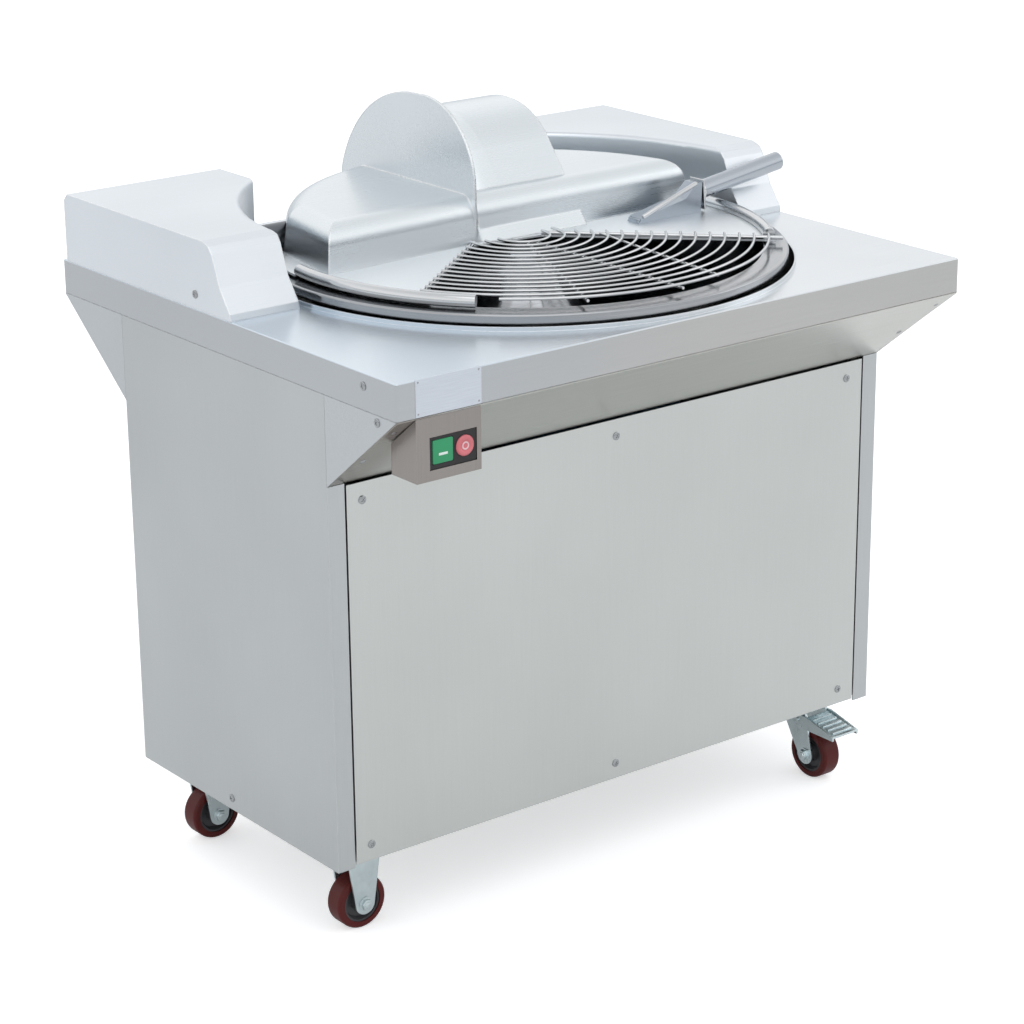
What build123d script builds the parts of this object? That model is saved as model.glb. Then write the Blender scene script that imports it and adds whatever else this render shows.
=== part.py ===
from build123d import *
from math import atan2, cos, degrees, radians, sin, sqrt, tan
import os

# Meat bowl cutter. A stainless cabinet on four castors carries a wide worktop. A ring-shaped
# bowl turns in the worktop, and a head of three sickle knives turns on a shaft that crosses the
# bowl behind its centre. A hinged lid with a hood, a knife cover and a wire guard closes it.
# Millimetres. X to the right, Y to the back, Z up. The origin is on the floor, under the middle.

os.makedirs("parts", exist_ok=True)

# ---- driving dimensions -----------------------------------------------------------------
length = 1000
depth = 830
worktop_z = 865
rim_height = 50
worktop_sheet = 3
sheet = 2
cabinet_depth = 508
cabinet_z = 130
apron_z = 688
corner_flange = 28
seam = 0.5
frame_tube = 30

bowl_x, bowl_y = 16, -12
spindle_y, spindle_z = 186, 906
trough_radius = 150
bowl_wall = 4
bowl_rim_radius = 384
bowl_rim_z = 885
knife_radius = 142

housing_z = 965
housing_back = 402
housing_cut_radius = 405
housing_width = 260

lid_z = 891
lid_sheet = 3
lid_radius = 366
lid_tube_diameter = 18
cover_left, cover_right = -45, 150
hinge_y, hinge_z = 395, 900
hinge_x = (-30, 150)

wheel_radius = 40
tyre_bore_radius = 30
wheel_width = 32
castor_front, castor_back = -180, 200
rigid_castor_x = -422
swivel_x, swivel_trail = 436, 30
swivel_turn = -90
axle_radius = 6
running_gap = 0.05

# ---- worked out -------------------------------------------------------------------------
half_length, half_depth = length / 2, depth / 2
rim_z = worktop_z - rim_height
face_y = cabinet_depth / 2
trough_mean = spindle_y - bowl_y
bowl_axis = Axis((bowl_x, bowl_y, 0), (0, 0, 1))
spindle_plane = Plane(origin=(0, spindle_y, spindle_z), x_dir=(0, 1, 0), z_dir=(1, 0, 0))


def across(x):
    """Plane square to the length at x, with Y to the right and Z up."""
    return Plane(origin=(x, 0, 0), x_dir=(0, 1, 0), z_dir=(1, 0, 0))


# ======== cabinet ========================================================================
# Worktop: a folded pan with a round hole, whose edge stands up as a drip collar.
hole_radius = 392
collar_height = 6
belt_slot = (44, 150)
with BuildPart() as worktop:
    with BuildSketch(Plane.XY.offset(rim_z)):
        RectangleRounded(length, depth, 4)
    extrude(amount=rim_height)
    with BuildSketch(Plane.XY.offset(rim_z)):
        Rectangle(length - 2 * worktop_sheet, depth - 2 * worktop_sheet)
    extrude(amount=rim_height - worktop_sheet, mode=Mode.SUBTRACT)
    fillet(worktop.edges().group_by(Axis.Z)[-1], 2)
    with BuildSketch(Plane.XY.offset(rim_z)):
        with Locations((bowl_x, bowl_y)):
            Circle(hole_radius)
        with Locations((-440, 165)):
            Rectangle(*belt_slot)
    extrude(amount=rim_height, mode=Mode.SUBTRACT)
    with BuildSketch(Plane.XY.offset(worktop_z - worktop_sheet)):
        with Locations((bowl_x, bowl_y)):
            Circle(hole_radius + sheet)
            Circle(hole_radius, mode=Mode.SUBTRACT)
    extrude(amount=worktop_sheet + collar_height)
worktop.part.label = "worktop"
export_step(worktop.part, "parts/worktop.step")


# Aprons: sloping sheets from the worktop rim in to the cabinet, with a gusset at each end.
def apron(side):
    inner_y = side * face_y
    outer_y = side * (half_depth - seam)
    with BuildPart() as piece:
        with BuildSketch(Plane.YZ):
            with BuildLine():
                Polyline(
                    (outer_y, rim_z - 2.2),
                    (inner_y, apron_z),
                    (inner_y - side * 14, apron_z),
                )
                offset(amount=sheet, side=Side.RIGHT if side > 0 else Side.LEFT)
            make_face()
        extrude(amount=half_length - sheet, both=True)
        for end in (-half_length, half_length - sheet):
            with BuildSketch(across(end)):
                with BuildLine():
                    Polyline(
                        (outer_y, rim_z - seam),
                        (inner_y + side * seam, apron_z),
                        (inner_y + side * seam, rim_z - seam),
                        close=True,
                    )
                make_face()
            extrude(amount=sheet)
    return piece


front_apron = apron(-1)
front_apron.part.label = "front_apron"
export_step(front_apron.part, "parts/front_apron.step")
rear_apron = apron(1)
rear_apron.part.label = "rear_apron"
export_step(rear_apron.part, "parts/rear_apron.step")


# Side panels: flat sheets whose front and back edges fold round the cabinet's corners.
def side_panel(side):
    with BuildPart() as piece:
        with Locations((side * (half_length - sheet / 2), 0, cabinet_z)):
            Box(sheet, cabinet_depth, rim_z - seam - cabinet_z, align=(Align.CENTER, Align.CENTER, Align.MIN))
        for face in (-1, 1):
            flange_x = side * (half_length - corner_flange / 2)
            with Locations((flange_x, face * (face_y - sheet / 2), cabinet_z)):
                Box(
                    corner_flange,
                    sheet,
                    apron_z - seam - cabinet_z,
                    align=(Align.CENTER, Align.CENTER, Align.MIN),
                )
    return piece


left_side_panel = side_panel(-1)
left_side_panel.part.label = "left_side_panel"
export_step(left_side_panel.part, "parts/left_side_panel.step")
right_side_panel = side_panel(1)
right_side_panel.part.label = "right_side_panel"
export_step(right_side_panel.part, "parts/right_side_panel.step")

# Front and rear panels: lift-out pans between the corner flanges. The rear one is vented.
panel_gap = 3
panel_width = length - 2 * corner_flange - 2 * panel_gap
panel_low, panel_high = cabinet_z + 4, apron_z - 4
panel_fold = 16


def pan_panel(side):
    with BuildPart() as piece:
        with Locations((0, side * (face_y - sheet / 2), panel_low)):
            Box(
                panel_width,
                sheet,
                panel_high - panel_low,
                align=(Align.CENTER, Align.CENTER, Align.MIN),
            )
        for end in (-1, 1):
            fold_x = end * (panel_width - sheet) / 2
            with Locations((fold_x, side * (face_y - panel_fold / 2), (panel_low + panel_high) / 2)):
                Box(sheet, panel_fold, panel_high - panel_low)
        with Locations((0, side * (face_y - panel_fold / 2), panel_low + sheet / 2)):
            Box(panel_width, panel_fold, sheet)
    return piece


front_panel = pan_panel(-1)
front_panel.part.label = "front_panel"
export_step(front_panel.part, "parts/front_panel.step")
with BuildPart() as rear_panel:
    add(pan_panel(1).part)
    with BuildSketch(Plane.XZ.offset(-face_y - 1)):
        for column_x in (-260, 260):
            with Locations((column_x, 300)):
                with GridLocations(1, 22, 1, 9):
                    SlotOverall(150, 7)
    extrude(amount=sheet + 2, mode=Mode.SUBTRACT)
rear_panel.part.label = "rear_panel"
export_step(rear_panel.part, "parts/rear_panel.step")

# Base tray: the floor of the cabinet, folded up all round. The castors bolt to it.
tray_lip = 24
tray_floor = 3
tray_size = (length - 2 * sheet - 2 * seam, cabinet_depth - 2 * panel_fold - 2 * seam)
with BuildPart() as base_tray:
    with Locations((0, 0, cabinet_z)):
        Box(*tray_size, tray_lip, align=(Align.CENTER, Align.CENTER, Align.MIN))
    with Locations((0, 0, cabinet_z + tray_floor)):
        Box(
            tray_size[0] - 2 * sheet,
            tray_size[1] - 2 * sheet,
            tray_lip,
            align=(Align.CENTER, Align.CENTER, Align.MIN),
            mode=Mode.SUBTRACT,
        )
base_tray.part.label = "base_tray"
export_step(base_tray.part, "parts/base_tray.step")

# Inner frame: square tube posts and rails that carry the worktop and the drives.
post_x = 478
post_y = 215
floor_z = cabinet_z + tray_floor
rail_levels = (floor_z, 620)
cross_x = (-230, bowl_x - 55, bowl_x + 55)
cross_z = 500
with BuildPart() as inner_frame:
    for x in (-post_x, post_x):
        for y in (-post_y, post_y):
            with Locations((x, y, floor_z)):
                Box(
                    frame_tube,
                    frame_tube,
                    worktop_z - worktop_sheet - floor_z,
                    align=(Align.CENTER, Align.CENTER, Align.MIN),
                )
        for z in rail_levels:
            with Locations((x, 0, z + frame_tube / 2)):
                Box(frame_tube, 2 * post_y, frame_tube)
    for y in (-post_y, post_y):
        for z in (*rail_levels, cross_z):
            with Locations((0, y, z + frame_tube / 2)):
                Box(2 * post_x, frame_tube, frame_tube)
    for x in cross_x:
        with Locations((x, 0, cross_z + frame_tube / 2)):
            Box(frame_tube, 2 * post_y, frame_tube)
inner_frame.part.label = "inner_frame"
export_step(inner_frame.part, "parts/inner_frame.step")

# Cover screws: low round heads on the panels, the side panels, the gussets and the housings.
head_radius = 6
head_height = 2
front_screws = [(x, z) for x in (-444, -8, 438) for z in (158, 659)]
side_screws = [(14, 148), (-344, 847), (-373, 805), (52, 886), (340, 886)]
with BuildPart() as cover_screws:
    for side in (-1, 1):
        for x, z in front_screws:
            with BuildSketch(Plane((x, side * face_y, z), x_dir=(1, 0, 0), z_dir=(0, side, 0))):
                Circle(head_radius)
            extrude(amount=head_height, taper=35)
        for y, z in side_screws:
            with BuildSketch(Plane((side * half_length, y, z), x_dir=(0, 1, 0), z_dir=(side, 0, 0))):
                Circle(head_radius)
            extrude(amount=head_height, taper=35)
cover_screws.part.label = "cover_screws"
export_step(cover_screws.part, "parts/cover_screws.step")

# ======== control box ====================================================================
box_left, box_right = -470, -367
box_low = 727
box_back = -360
window_x, window_z = (-449, -374), (741, 785)
slope = (rim_z - apron_z) / (half_depth - face_y)


def box_profile(x, inset):
    """Side outline of the control box, up to the slope of the apron behind it."""
    back_top = rim_z + slope * (-half_depth - box_back) - inset
    with BuildSketch(across(x)) as profile:
        with BuildLine():
            Polyline(
                (-half_depth + inset, rim_z - 2.3 - inset),
                (-half_depth + inset, box_low + inset),
                (box_back - inset, box_low + inset),
                (box_back - inset, back_top - 2.8),
                close=True,
            )
        make_face()
    return profile.sketch


with BuildPart() as control_box:
    extrude(box_profile(box_left, 0), amount=box_right - box_left)
    extrude(
        box_profile(box_left + sheet, sheet),
        amount=box_right - box_left - 2 * sheet,
        mode=Mode.SUBTRACT,
    )
    with Locations((sum(window_x) / 2, -half_depth, sum(window_z) / 2)):
        Box(window_x[1] - window_x[0], 3 * sheet, window_z[1] - window_z[0], mode=Mode.SUBTRACT)
control_box.part.label = "control_box"
export_step(control_box.part, "parts/control_box.step")

# Switch: a black body behind the window, with a square green start and a round red stop.
button_travel = 3
start_centre = (-428, 764)
start_size = 32
stop_centre = (-393, 764)
stop_radius = 14
switch_front = -half_depth + 1
switch_back = -half_depth + 24
button_gap = 0.5
pocket_depth = 10
with BuildPart() as switch_body:
    with BuildSketch(Plane.XZ.offset(-switch_front)):
        with Locations((sum(window_x) / 2, sum(window_z) / 2)):
            RectangleRounded(window_x[1] - window_x[0] - 1, window_z[1] - window_z[0] - 1, 3)
    extrude(amount=-(switch_back - switch_front))
    with BuildSketch(Plane.XZ.offset(-switch_front)):
        with Locations(start_centre):
            Rectangle(start_size + 2 * button_gap, start_size + 2 * button_gap)
        with Locations(stop_centre):
            Circle(stop_radius + button_gap)
    extrude(amount=-pocket_depth, mode=Mode.SUBTRACT)
switch_body.part.label = "switch_body"
export_step(switch_body.part, "parts/switch_body.step")

button_back = switch_front + pocket_depth - button_travel - 1
with BuildPart() as start_button:
    with BuildSketch(Plane.XZ.offset(-button_back)):
        with Locations(start_centre):
            RectangleRounded(start_size, start_size, 2)
    extrude(amount=button_back + half_depth)
    fillet(start_button.edges().group_by(Axis.Y)[0], 1)
start_button.part.label = "start_button"
export_step(start_button.part, "parts/start_button.step")

stop_axis = Axis((stop_centre[0], 0, stop_centre[1]), (0, 1, 0))
with BuildPart() as stop_button:
    with BuildSketch(Plane.XY.offset(stop_centre[1])):
        with BuildLine():
            Polyline(
                (stop_centre[0], button_back),
                (stop_centre[0] + stop_radius, button_back),
                (stop_centre[0] + stop_radius, -half_depth),
                (stop_centre[0] + stop_radius - 2, -half_depth - 2),
                (stop_centre[0] + 9, -half_depth - 2),
                (stop_centre[0] + 7, -half_depth - 0.8),
                (stop_centre[0], -half_depth - 0.8),
                close=True,
            )
        make_face()
    revolve(axis=stop_axis)
stop_button.part.label = "stop_button"
export_step(stop_button.part, "parts/stop_button.step")

# ======== housings on the worktop ========================================================
# Two long covers with a hollowed side that follows the bowl. The left one hides the bearing
# pedestal and the pulley. The front end slopes and flares to its foot.


def housing_form(side, inset):
    """The cover's outer form, or its hollow when inset by the sheet."""
    low_x = min(side * half_length, side * (half_length - housing_width)) + inset
    foot_z = worktop_z - (1 if inset else 0)
    with BuildPart() as form:
        with BuildSketch(across(low_x)):
            with BuildLine():
                Polyline(
                    (-36 + inset, foot_z),
                    (-34 + inset, worktop_z + 10),
                    (-11 + inset, 907),
                    (6 + inset, 950 - inset / 2),
                    (14 + inset, 960 - inset),
                    (30, housing_z - inset),
                    (housing_back - 10, housing_z - inset),
                    (housing_back - inset, housing_z - 10),
                    (housing_back - inset, foot_z),
                    close=True,
                )
            make_face()
        extrude(amount=housing_width - 2 * inset)
        with BuildSketch(Plane.XY.offset(foot_z)):
            with Locations((bowl_x, bowl_y)):
                Circle(housing_cut_radius + 4 * inset)
        extrude(amount=housing_z, mode=Mode.SUBTRACT)
    return form


def housing(side):
    with BuildPart() as piece:
        add(housing_form(side, 0).part)
        top_edges = piece.edges().filter_by(GeomType.CIRCLE).sort_by(Axis.Z)[-1:]
        fillet(top_edges, 7)
        add(housing_form(side, sheet).part, mode=Mode.SUBTRACT)
        if side < 0:
            with BuildSketch(spindle_plane):
                Circle(26)
            extrude(amount=housing_width - half_length - 140, mode=Mode.SUBTRACT)
    return piece


left_housing = housing(-1)
left_housing.part.label = "left_housing"
export_step(left_housing.part, "parts/left_housing.step")
right_housing = housing(1)
right_housing.part.label = "right_housing"
export_step(right_housing.part, "parts/right_housing.step")

# ======== knife drive ====================================================================
# Pedestal: a cast block on the worktop, bored for the shaft's outer bearing.
pedestal_x = (-418, -384)
bearing_radius = 30
tube_radius = 20
tube_bore = 16
spindle_radius = 12
tube_right = -62
with BuildPart() as bearing_pedestal:
    with BuildSketch(across(pedestal_x[0])):
        with Locations((spindle_y, spindle_z)):
            Circle(40)
        with Locations((spindle_y, (worktop_z + spindle_z) / 2)):
            Rectangle(84, spindle_z - worktop_z)
        with Locations((spindle_y, worktop_z + 6)):
            Rectangle(150, 12)
    extrude(amount=pedestal_x[1] - pedestal_x[0])
    with BuildSketch(across(pedestal_x[0])):
        with Locations((spindle_y, spindle_z)):
            Circle(bearing_radius)
    extrude(amount=pedestal_x[1] - pedestal_x[0], mode=Mode.SUBTRACT)
    with BuildSketch(Plane.XY.offset(worktop_z + 12)):
        with Locations((sum(pedestal_x) / 2, spindle_y)):
            with GridLocations(1, 124, 1, 2):
                RegularPolygon(9, 6)
    extrude(amount=8)
bearing_pedestal.part.label = "bearing_pedestal"
export_step(bearing_pedestal.part, "parts/bearing_pedestal.step")

# Bearing tube: flanged to the pedestal, it carries the shaft out over the bowl.
with BuildPart() as bearing_tube:
    with BuildSketch(across(pedestal_x[1])):
        with Locations((spindle_y, spindle_z)):
            Circle(38)
    extrude(amount=8)
    with BuildSketch(across(pedestal_x[1])):
        with Locations((spindle_y, spindle_z)):
            Circle(tube_radius)
    extrude(amount=tube_right - pedestal_x[1])
    with BuildSketch(across(pedestal_x[1])):
        with Locations((spindle_y, spindle_z)):
            Circle(tube_bore)
    extrude(amount=tube_right - pedestal_x[1], mode=Mode.SUBTRACT)
    with BuildSketch(across(pedestal_x[1] + 8)):
        with Locations((spindle_y, spindle_z)):
            with PolarLocations(30, 4, start_angle=45):
                RegularPolygon(5, 6)
    extrude(amount=4)
bearing_tube.part.label = "bearing_tube"
export_step(bearing_tube.part, "parts/bearing_tube.step")

# Spindle bearings: two rings in the pedestal and one at the tube's far end.
with BuildPart() as spindle_bearings:
    for x, outer, width in (
        (pedestal_x[0] + 1, bearing_radius, 15),
        (pedestal_x[1] - 16, bearing_radius, 15),
        (tube_right - 22, tube_bore, 18),
    ):
        with BuildSketch(across(x)):
            with Locations((spindle_y, spindle_z)):
                Circle(outer - running_gap)
                Circle(spindle_radius + running_gap, mode=Mode.SUBTRACT)
        extrude(amount=width)
spindle_bearings.part.label = "spindle_bearings"
export_step(spindle_bearings.part, "parts/spindle_bearings.step")

# Spindle: a long shaft with a shoulder for the knives and a spigot for the nut.
pulley_x = (-458, -422)
head_x = -46
knife_gap, knife_sheet = 4, 3
clamp_width = 6
head_right = head_x + 2 * clamp_width + 3 * knife_sheet + 2 * knife_gap
spigot_radius = 10
nut_width = 14
spindle_steps = (
    (-468, head_x - 8, spindle_radius),
    (head_x - 8, head_x, 30),
    (head_x, head_right + nut_width + 4, spigot_radius),
)
with BuildPart() as spindle:
    for low_x, high_x, radius in spindle_steps:
        with BuildSketch(across(low_x)):
            with Locations((spindle_y, spindle_z)):
                Circle(radius)
        extrude(amount=high_x - low_x)
    chamfer(spindle.edges().sort_by(Axis.X)[-1], 2)
spindle.part.label = "spindle"
export_step(spindle.part, "parts/spindle.step")


# Pulleys: three V grooves each, turned from a blank and bored for their shafts.
groove_pitch, groove_depth = 12, 8


def pulley(y, z, radius, bore, centre_x):
    """Three-groove pulley with its middle groove at centre_x."""
    with BuildPart() as piece:
        with BuildSketch(Plane.XY.offset(z)):
            with BuildLine():
                points = [(centre_x - 18, y + bore), (centre_x - 18, y + radius)]
                for groove in (-1, 0, 1):
                    middle = centre_x + groove * groove_pitch
                    points.append((middle - 5, y + radius))
                    points.append((middle - 2, y + radius - groove_depth))
                    points.append((middle + 2, y + radius - groove_depth))
                    points.append((middle + 5, y + radius))
                points += [(centre_x + 18, y + radius), (centre_x + 18, y + bore)]
                Polyline(*points, close=True)
            make_face()
        revolve(axis=Axis((0, y, z), (1, 0, 0)))
    return piece


spindle_pulley_radius = 45
motor_pulley_radius = 62.5
motor_y, motor_z = 85, 350
motor_shaft_radius = 14
pulley_centre_x = sum(pulley_x) / 2
spindle_pulley = pulley(spindle_y, spindle_z, spindle_pulley_radius, spindle_radius, pulley_centre_x)
spindle_pulley.part.label = "spindle_pulley"
export_step(spindle_pulley.part, "parts/spindle_pulley.step")

motor_left, motor_right = -405, -120
with BuildPart() as motor_pulley:
    add(pulley(motor_y, motor_z, motor_pulley_radius, motor_shaft_radius - 1, pulley_centre_x).part)
    with BuildSketch(across(pulley_x[0] - 4)):
        with Locations((motor_y, motor_z)):
            Circle(motor_shaft_radius)
    extrude(amount=motor_left + 40 - pulley_x[0] + 4)
motor_pulley.part.label = "motor_pulley"
export_step(motor_pulley.part, "parts/motor_pulley.step")

# Drive belt: three V belts side by side, straight between the pulleys.
belt_clearance = 0.3
belt_thickness = 7
with BuildPart() as drive_belt:
    for groove in (-1, 0, 1):
        with BuildSketch(across(pulley_centre_x + groove * groove_pitch - 1.8)):
            for grow, mode in ((belt_thickness, Mode.ADD), (0, Mode.SUBTRACT)):
                with BuildSketch(mode=mode) as loop:
                    base = grow + belt_clearance - groove_depth
                    with Locations((spindle_y, spindle_z)):
                        Circle(spindle_pulley_radius + base)
                    with Locations((motor_y, motor_z)):
                        Circle(motor_pulley_radius + base)
                    make_hull()
        extrude(amount=3.6)
drive_belt.part.label = "drive_belt"
export_step(drive_belt.part, "parts/drive_belt.step")

# Knife motor: finned body, end bells, terminal box and feet, on a slotted bracket.
motor_radius = 84
with BuildPart() as knife_motor:
    with BuildSketch(across(motor_left)):
        with Locations((motor_y, motor_z)):
            Circle(motor_radius)
    extrude(amount=motor_right - motor_left)
    fillet(knife_motor.edges().sort_by(Axis.X)[-1], 14)
    with BuildSketch(across(motor_left + 40)):
        with Locations((motor_y, motor_z)):
            with PolarLocations(motor_radius, 24):
                Rectangle(12, 3)
    extrude(amount=150)
    for foot_x in (motor_left + 50, motor_left + 160):
        with Locations((foot_x, motor_y, motor_z - motor_radius - 4)):
            Box(36, 170, 24)
    with Locations((motor_left + 110, motor_y, motor_z + motor_radius)):
        Box(80, 90, 50)
    with BuildSketch(across(motor_left)):
        with Locations((motor_y, motor_z)):
            Circle(motor_shaft_radius + running_gap)
    extrude(amount=41, mode=Mode.SUBTRACT)
knife_motor.part.label = "knife_motor"
export_step(knife_motor.part, "parts/knife_motor.step")

bracket_z = motor_z - motor_radius - 16
with BuildPart() as motor_bracket:
    with Locations((motor_left + 105, 0, bracket_z - 3)):
        Box(190, 2 * (post_y + frame_tube / 2), 6)
    for y in (-post_y, post_y):
        with Locations((motor_left + 105, y, (bracket_z - 6 + floor_z + frame_tube) / 2)):
            Box(40, 30, bracket_z - 6 - floor_z - frame_tube)
motor_bracket.part.label = "motor_bracket"
export_step(motor_bracket.part, "parts/motor_bracket.step")

# Knives: three sickle blades, a third of a turn apart, with a hexagonal seat each.
hub_radius = 34


def knife(turn, x):
    """Sickle blade: a rounded hub, a swept cutting edge outside and a hollow back."""
    turned = (0, cos(radians(turn)), sin(radians(turn)))
    blade_plane = Plane(origin=(x, spindle_y, spindle_z), x_dir=turned, z_dir=(1, 0, 0))
    tip = (cos(radians(70)) * knife_radius, sin(radians(70)) * knife_radius)
    with BuildPart() as piece:
        with BuildSketch(blade_plane):
            Circle(hub_radius)
            with BuildLine():
                edge = ThreePointArc((-30, -16), (-46, 74), tip)
                Line(edge @ 1, (tip[0] + 4, tip[1] - 14))
                ThreePointArc((tip[0] + 4, tip[1] - 14), (6, 78), (32, 12))
                Line((32, 12), edge @ 0)
            make_face()
            RegularPolygon(spigot_radius + 5, 6, mode=Mode.SUBTRACT)
        extrude(amount=knife_sheet)
    return piece


knife_x = [head_x + clamp_width + index * (knife_sheet + knife_gap) for index in range(3)]
knives = {f"knife_{index + 1}": knife(120 * index, knife_x[index]) for index in range(3)}
for name, piece in knives.items():
    piece.part.label = name
    export_step(piece.part, f"parts/{name}.step")

# Knife clamps: hexagonal sleeve, end plates and rings that hold the blades apart.
with BuildPart() as knife_clamps:
    with BuildSketch(across(head_x + clamp_width)):
        with Locations((spindle_y, spindle_z)):
            RegularPolygon(spigot_radius + 5 - running_gap, 6)
    extrude(amount=head_right - head_x - 2 * clamp_width)
    ring_starts = [head_x, head_right - clamp_width]
    ring_starts += [x + knife_sheet for x in knife_x[:2]]
    for x, width in zip(ring_starts, (clamp_width, clamp_width, knife_gap, knife_gap)):
        with BuildSketch(across(x)):
            with Locations((spindle_y, spindle_z)):
                Circle(hub_radius - 3)
        extrude(amount=width)
    with BuildSketch(across(head_x)):
        with Locations((spindle_y, spindle_z)):
            Circle(spigot_radius)
    extrude(amount=head_right - head_x, mode=Mode.SUBTRACT)
knife_clamps.part.label = "knife_clamps"
export_step(knife_clamps.part, "parts/knife_clamps.step")

with BuildPart() as knife_nut:
    with BuildSketch(across(head_right)):
        with Locations((spindle_y, spindle_z)):
            RegularPolygon(20, 6)
            Circle(spigot_radius, mode=Mode.SUBTRACT)
    extrude(amount=nut_width)
knife_nut.part.label = "knife_nut"
export_step(knife_nut.part, "parts/knife_nut.step")

# ======== bowl ===========================================================================
bowl_plane = Plane(origin=(bowl_x, bowl_y, 0), x_dir=(1, 0, 0), z_dir=(0, -1, 0))


def trough_point(radius, angle):
    """Point of the trough's round section, at an angle below the horizontal, hub side at 0."""
    turn = radians(angle)
    return (trough_mean - radius * cos(turn), spindle_z - radius * sin(turn))


outer_radius = trough_radius + bowl_wall
lip_start = trough_point(trough_radius, 170)
with BuildPart() as bowl:
    with BuildSketch(bowl_plane):
        with BuildLine():
            inside = ThreePointArc(
                trough_point(trough_radius, 20), trough_point(trough_radius, 90), lip_start
            )
            Line(inside @ 1, (lip_start[0] + 2, bowl_rim_z))
            Line((lip_start[0] + 2, bowl_rim_z), (bowl_rim_radius - 3, bowl_rim_z))
            ThreePointArc(
                (bowl_rim_radius - 3, bowl_rim_z),
                (bowl_rim_radius - 0.9, bowl_rim_z - 0.9),
                (bowl_rim_radius, bowl_rim_z - 3),
            )
            Line((bowl_rim_radius, bowl_rim_z - 3), (bowl_rim_radius, bowl_rim_z - 14))
            Line((bowl_rim_radius, bowl_rim_z - 14), (bowl_rim_radius - 3, bowl_rim_z - 14))
            Line((bowl_rim_radius - 3, bowl_rim_z - 14), (bowl_rim_radius - 3, bowl_rim_z - 4))
            under_lip = trough_point(outer_radius, 168)
            Line((bowl_rim_radius - 3, bowl_rim_z - 4), (under_lip[0], bowl_rim_z - 4))
            Line((under_lip[0], bowl_rim_z - 4), under_lip)
            outside = ThreePointArc(
                under_lip, trough_point(outer_radius, 90), trough_point(outer_radius, 26)
            )
            Line(outside @ 1, (28, 832))
            Line((28, 832), (20, 846))
            Line((20, 846), (18.2, 846))
            Line((18.2, 846), (18.2, 862))
            Line((18.2, 862), (36, 862))
            Line((36, 862), inside @ 0)
        make_face()
    revolve(axis=bowl_axis)
bowl.part.label = "bowl"
export_step(bowl.part, "parts/bowl.step")

# Bowl cap: the domed nut in the bowl's middle.
with BuildPart() as bowl_cap:
    with BuildSketch(Plane.XY.offset(862.2)):
        with Locations((bowl_x, bowl_y)):
            Circle(24)
    extrude(amount=15)
    fillet(bowl_cap.edges().sort_by(Axis.Z)[-1], 9)
bowl_cap.part.label = "bowl_cap"
export_step(bowl_cap.part, "parts/bowl_cap.step")

# Bowl shaft: upright, flanged under the bowl's hub.
shaft_radius = 16
gearbox_z = (cross_z + frame_tube, 640)
with BuildPart() as bowl_shaft:
    with BuildSketch(bowl_plane):
        with BuildLine():
            Polyline(
                (0, gearbox_z[1] - 20),
                (shaft_radius, gearbox_z[1] - 20),
                (shaft_radius, 826),
                (27, 826),
                (27, 831.8),
                (17, 845.8),
                (18, 846),
                (18, 862),
                (0, 862),
                close=True,
            )
        make_face()
    revolve(axis=bowl_axis)
bowl_shaft.part.label = "bowl_shaft"
export_step(bowl_shaft.part, "parts/bowl_shaft.step")

# Bowl bearing housing: a flanged tube on top of the gearbox.
with BuildPart() as bowl_bearing_housing:
    with BuildSketch(Plane.XY.offset(gearbox_z[1])):
        with Locations((bowl_x, bowl_y)):
            Circle(50)
    extrude(amount=10)
    with BuildSketch(Plane.XY.offset(gearbox_z[1] + 10)):
        with Locations((bowl_x, bowl_y)):
            Circle(32)
    extrude(amount=75, taper=3)
    with BuildSketch(Plane.XY.offset(gearbox_z[1])):
        with Locations((bowl_x, bowl_y)):
            Circle(shaft_radius + running_gap)
    extrude(amount=90, mode=Mode.SUBTRACT)
bowl_bearing_housing.part.label = "bowl_bearing_housing"
export_step(bowl_bearing_housing.part, "parts/bowl_bearing_housing.step")

# Gearbox: worm reducer on the cross rails, with its small motor on the right.
gearbox_side = 140
worm_z = gearbox_z[0] + 45
with BuildPart() as gearbox:
    with BuildSketch(Plane.XY.offset(gearbox_z[0])):
        with Locations((bowl_x, bowl_y)):
            RectangleRounded(gearbox_side, gearbox_side, 18)
    extrude(amount=gearbox_z[1] - gearbox_z[0])
    with BuildSketch(across(bowl_x + gearbox_side / 2)):
        with Locations((bowl_y, worm_z)):
            Circle(48)
    extrude(amount=8)
    with BuildSketch(Plane.XY.offset(gearbox_z[1] - 20.5)):
        with Locations((bowl_x, bowl_y)):
            Circle(shaft_radius + running_gap)
    extrude(amount=21, mode=Mode.SUBTRACT)
gearbox.part.label = "gearbox"
export_step(gearbox.part, "parts/gearbox.step")

with BuildPart() as bowl_motor:
    with BuildSketch(across(bowl_x + gearbox_side / 2 + 8)):
        with Locations((bowl_y, worm_z)):
            Circle(58)
    extrude(amount=190)
    fillet(bowl_motor.edges().sort_by(Axis.X)[-1], 12)
    with Locations((bowl_x + gearbox_side / 2 + 80, bowl_y, worm_z + 62)):
        Box(70, 70, 34)
bowl_motor.part.label = "bowl_motor"
export_step(bowl_motor.part, "parts/bowl_motor.step")

# ======== lid ============================================================================
# Hood: a D-shaped box over the back of the bowl, fused with the arched knife cover. Both are
# one welded sheet shell, open below, with a notch for the bearing tube and two hinge straps.
hood_radius = 346
hood_top_z = 958
hood_slope = 9
hood_bend = 30
hood_front = ((-314, 2), (-45, 17))
hood_left_end = (-288, 100)


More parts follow.
